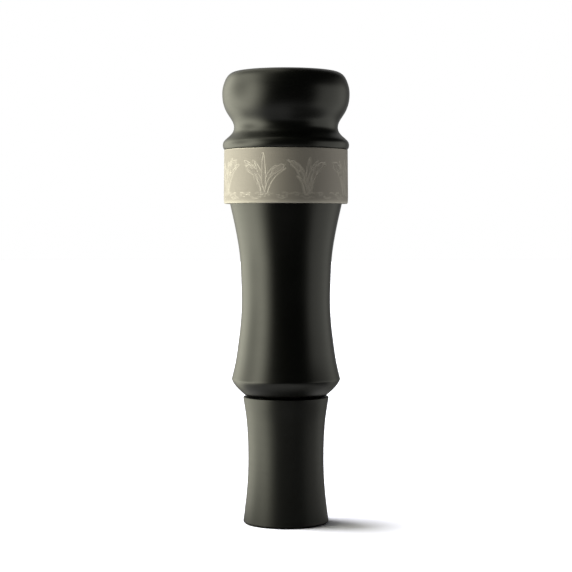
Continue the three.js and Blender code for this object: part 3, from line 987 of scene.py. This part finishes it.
def cork(name):
    """Pressed cork: granules of several browns, dark joints between them and small open pores."""
    m, g, b, where = surface(name)
    v = g.node("ShaderNodeTexVoronoi", feature="F1")
    g.put(v.inputs["Vector"], where)
    v.inputs["Scale"].default_value = 800.0
    tone = g.node("ShaderNodeSeparateColor")
    g.put(tone.inputs[0], v.outputs["Color"])
    gap = g.ramp(g.cells(where, 800.0, "DISTANCE_TO_EDGE"), 0.0, 0.13, 1.0, 0.0)
    mottle = g.noise(where, 2600.0, 4.0, 0.65)
    fleck = g.ramp(g.noise(where, 1500.0, 3.0, 0.6), 0.60, 0.68)
    color = g.mix(tone.outputs[0], (0.30, 0.165, 0.075), (0.56, 0.36, 0.19))
    color = g.mix(g.ramp(mottle, 0.3, 0.7), tuple((0.26, 0.14, 0.065)), color)
    color = g.mix(g.math("MULTIPLY", gap, 0.75), color, (0.11, 0.055, 0.025))
    color = g.mix(g.math("MULTIPLY", fleck, 0.8), color, (0.06, 0.03, 0.015))
    g.put(b.inputs["Base Color"], color)
    g.put(b.inputs["Roughness"], g.ramp(mottle, 0.3, 0.7, 0.78, 0.95))
    b.inputs["Specular IOR Level"].default_value = 0.25
    n = g.bump(g.math("SUBTRACT", 1.0, gap), 30e-6)
    n = g.bump(mottle, 18e-6, n)
    g.put(b.inputs["Normal"], n)
    return m


BAND_DARK, BAND_LIGHT, BAND_ROUGH = (0.496, 0.466, 0.446), (0.564, 0.531, 0.510), 0.78
mats = {
    "barrel": satin_black("barrel_satin_black", (0.0014, 0.0016, 0.0012), 0.31, 1.1e-6, 0.07),
    "insert": satin_black("insert_satin_black", (0.0026, 0.0028, 0.0023), 0.42, 1.6e-6, 0.06, (0.365, 0.465)),
    "band": satin_silver("band_satin_silver"),
    "ring": nitrile("o_ring_black_rubber"),
    "lower": film("lower_reed_milky_film", (0.80, 0.82, 0.80)),
    "upper": film("upper_reed_milky_film", (0.86, 0.87, 0.84)),
    "rivet": brass("rivet_worn_brass"),
    "cork": cork("wedge_pressed_cork"),
}

for ob, mat, body, node, slot in (
    (barrel, "barrel", "barrel", "barrel", "barrel_body"),
    (band, "band", "barrel", "band", "band_metal"),
    (insert, "insert", "insert", "insert", "insert_body"),
    (lower_ring, "ring", "seal_rings", "lower_o_ring", "o_ring_rubber"),
    (upper_ring, "ring", "seal_rings", "upper_o_ring", "o_ring_rubber"),
    (lower_reed, "lower", ("insert", "lower_reed"), "lower_reed", "reed_film"),
    (upper_reed, "upper", ("insert", "upper_reed"), "upper_reed", "reed_film"),
    (rivet, "rivet", "lower_reed", "reed_spacer_rivet", "rivet_brass"),
    (wedge, "cork", "wedge", "cork_wedge", "cork"),
):
    ob.data.materials.clear()
    ob.data.materials.append(mats[mat])
    if isinstance(body, tuple):
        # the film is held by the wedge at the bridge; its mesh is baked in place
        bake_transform(ob)
    else:
        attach(ob, body)
    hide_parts(node)


# ------------------------------------------------------------------ stage, lights and camera
cam_data = bpy.data.cameras.new("camera")
cam = bpy.data.objects.new("camera", cam_data)
SCENE.collection.objects.link(cam)
cam.location = (0, -0.477, 0.0826)
cam.rotation_euler = (math.radians(90 - 1.419), 0, 0)
cam_data.sensor_width = 36
cam_data.lens = 1691.5 / 572 * 36
cam_data.shift_x = 0.05 / 572
cam_data.shift_y = -13.85 / 572
cam_data.clip_start = 0.01
SCENE.camera = cam

# The studio: a broad warm panel on the left that wraps behind, a dimmer one on the right, and a dark front.
# Directions are an azimuth in degrees from the camera's side (left is negative) and an elevation in degrees.
world = bpy.data.worlds.new("studio")
SCENE.world = world
world.use_nodes = True
world.node_tree.nodes.clear()
g = Graph(world.node_tree)
w_out = g.node("ShaderNodeOutputWorld")
w_mix = g.node("ShaderNodeMixShader")
cam_bg = g.node("ShaderNodeBackground")
cam_bg.inputs["Color"].default_value = (1, 1, 1, 1)
cam_bg.inputs["Strength"].default_value = 1.0
studio_bg = g.node("ShaderNodeBackground")
sep = g.node("ShaderNodeSeparateXYZ")
g.t.links.new(g.node("ShaderNodeTexCoord").outputs["Generated"], sep.inputs[0])
deg = 57.29578
azimuth = g.math("MULTIPLY", g.math("ARCTAN2", sep.outputs[0], g.math("MULTIPLY", sep.outputs[1], -1.0)), deg)
elevation = g.math("MULTIPLY", g.math("ARCSINE", sep.outputs[2]), deg)


def oval(centre, radii, soft):
    """1 inside an oval patch of sky, easing to 0 over its edge."""
    a = g.math("DIVIDE", g.math("SUBTRACT", azimuth, centre[0]), radii[0])
    e = g.math("DIVIDE", g.math("SUBTRACT", elevation, centre[1]), radii[1])
    rho = g.math("SQRT", g.math("ADD", g.math("MULTIPLY", a, a), g.math("MULTIPLY", e, e)))
    return g.ramp(rho, 1 - soft, 1 + soft, 1.0, 0.0)


rear = g.math("MULTIPLY", g.window(azimuth, *REAR_AZ), g.window(elevation, *REAR_EL))
left = g.math("MAXIMUM", oval(KEY_CENTRE, KEY_RADII, KEY_SOFT), g.math("MULTIPLY", rear, REAR))
left = g.math("MULTIPLY", left, g.math("SUBTRACT", 1.0, g.math("MULTIPLY", oval(KEY_DIM_CENTRE, KEY_DIM_RADII, 0.75), KEY_DIM)))
left = g.math("MULTIPLY", left, g.ramp(g.window(elevation, *KEY_FULL_EL), 0.0, 1.0, KEY_ENDS, 1.0))
right = g.math("MULTIPLY", g.window(azimuth, *FILL_AZ), g.window(elevation, *FILL_EL))
back = g.math("MULTIPLY", g.ramp(g.math("ABSOLUTE", azimuth), *BACK_AZ), g.window(elevation, *BACK_EL))
top = g.math("MULTIPLY", g.window(azimuth, *TOP_AZ), g.ramp(elevation, *TOP_EL))
front = g.ramp(g.math("ABSOLUTE", azimuth), 100, 150, 1.0, 0.0)
ground = g.math("MULTIPLY", g.ramp(elevation, *GROUND_EL, 1.0, 0.0), front)
pale = g.math("ADD", g.math("MULTIPLY", back, BACK), g.math("MULTIPLY", ground, GROUND))
light = g.add(
    g.add(
        g.scale(KEY_COLOR, g.math("ADD", g.math("MULTIPLY", left, KEY), g.math("MULTIPLY", top, TOP))),
        g.scale(FILL_COLOR, g.math("MULTIPLY", right, FILL)),
    ),
    g.add(g.scale((1.0, 1.0, 0.97), pale), g.scale((1.0, 1.0, 0.9), g.math("MULTIPLY", g.ramp(elevation, -10, 5, 1.7, 1.0), WORLD_DIM))),
)
g.put(studio_bg.inputs["Color"], light)
g.t.links.new(g.node("ShaderNodeLightPath").outputs["Is Camera Ray"], w_mix.inputs["Fac"])
g.t.links.new(studio_bg.outputs[0], w_mix.inputs[1])
g.t.links.new(cam_bg.outputs[0], w_mix.inputs[2])
g.t.links.new(w_mix.outputs[0], w_out.inputs["Surface"])
world.cycles.sampling_method = "MANUAL"
world.cycles.sample_map_resolution = 1024

# A high soft lamp at the back left, which lights only the floor, is not seen in reflections, and whose light only the
# insert blocks: it draws the short shadow on the floor.
sun_data = bpy.data.lights.new("shadow_lamp", "SUN")
sun_data.energy = SUN
sun_data.angle = math.radians(SUN_ANGLE)
sun = bpy.data.objects.new("shadow_lamp", sun_data)
SCENE.collection.objects.link(sun)
_az, _el = math.radians(SUN_AZ), math.radians(SUN_EL)
_to = Vector((math.sin(_az) * math.cos(_el), -math.cos(_az) * math.cos(_el), math.sin(_el)))
sun.rotation_euler = _to.to_track_quat("Z", "Y").to_euler()
sun.visible_glossy = False

# The floor is plain white to the camera. Reflections see it only close to the call, with painted shade on its right
# side and round the foot, and the camera sees it brighter than reflections do.
floor = make_object("floor", [(-4, -4, 0), (4, -4, 0), (4, 4, 0), (-4, 4, 0)], [(0, 1, 2, 3)], smooth=False)
fm = bpy.data.materials.new("floor_white")
fm.use_nodes = True
fm.node_tree.nodes.clear()
g = Graph(fm.node_tree)
f_out = g.node("ShaderNodeOutputMaterial")
f_dif = g.node("ShaderNodeBsdfDiffuse")
f_clear = g.node("ShaderNodeBsdfTransparent")
f_lp = g.node("ShaderNodeLightPath")
f_len = g.node("ShaderNodeVectorMath", operation="LENGTH")
g.t.links.new(g.node("ShaderNodeTexCoord").outputs["Object"], f_len.inputs[0])
f_sep = g.node("ShaderNodeSeparateXYZ")
g.put(f_sep.inputs[0], g.node("ShaderNodeTexCoord").outputs["Object"])
reach = f_len.outputs["Value"]
# painted shadow: from 35 to 70 mm out on the right side, reflections see the floor darkened to FLOOR_SHADED, less so
# towards the back, standing in for the call's shadow there
shaded = g.math("MULTIPLY", g.ramp(f_sep.outputs[0], -0.01, 0.03), g.ramp(f_sep.outputs[1], 0.005, 0.045, 1.0, 0.35))
seen = g.mix(g.math("MULTIPLY", shaded, g.ramp(reach, 0.035, 0.070)), (FLOOR_ALBEDO,) * 3, (FLOOR_SHADED,) * 3)
# painted shade: reflections see the floor darker close round the foot, at 0.38 of its brightness within 12 mm of the
# axis
seen = g.scale(seen, g.ramp(reach, 0.012, 0.036, 0.38, 1.0))
g.put(f_dif.inputs["Color"], g.mix(f_lp.outputs["Is Camera Ray"], seen, (FLOOR_GAIN, FLOOR_GAIN * 1.005, FLOOR_GAIN * 1.135)))
far_lit, far_shaded = g.ramp(reach, *FLOOR_REACH), g.ramp(reach, *FLOOR_REACH_SHADED)
far = g.math("ADD", g.math("MULTIPLY", far_shaded, shaded), g.math("MULTIPLY", far_lit, g.math("SUBTRACT", 1.0, shaded)))
far = g.math("MULTIPLY", far, f_lp.outputs["Is Glossy Ray"])
f_mix = g.node("ShaderNodeMixShader")
g.put(f_mix.inputs["Fac"], far)
g.t.links.new(f_dif.outputs[0], f_mix.inputs[1])
g.t.links.new(f_clear.outputs[0], f_mix.inputs[2])
g.t.links.new(f_mix.outputs[0], f_out.inputs["Surface"])
floor.data.materials.append(fm)
lit = bpy.data.collections.new("lit_by_shadow_lamp")
lit.objects.link(floor)
sun.light_linking.receiver_collection = lit
low = bpy.data.collections.new("shadow_lamp_blockers")
low.objects.link(insert)
sun.light_linking.blocker_collection = low

SCENE.view_settings.view_transform = "Standard"
SCENE.view_settings.look = "None"
SCENE.view_settings.exposure = 0
SCENE.view_settings.gamma = 1
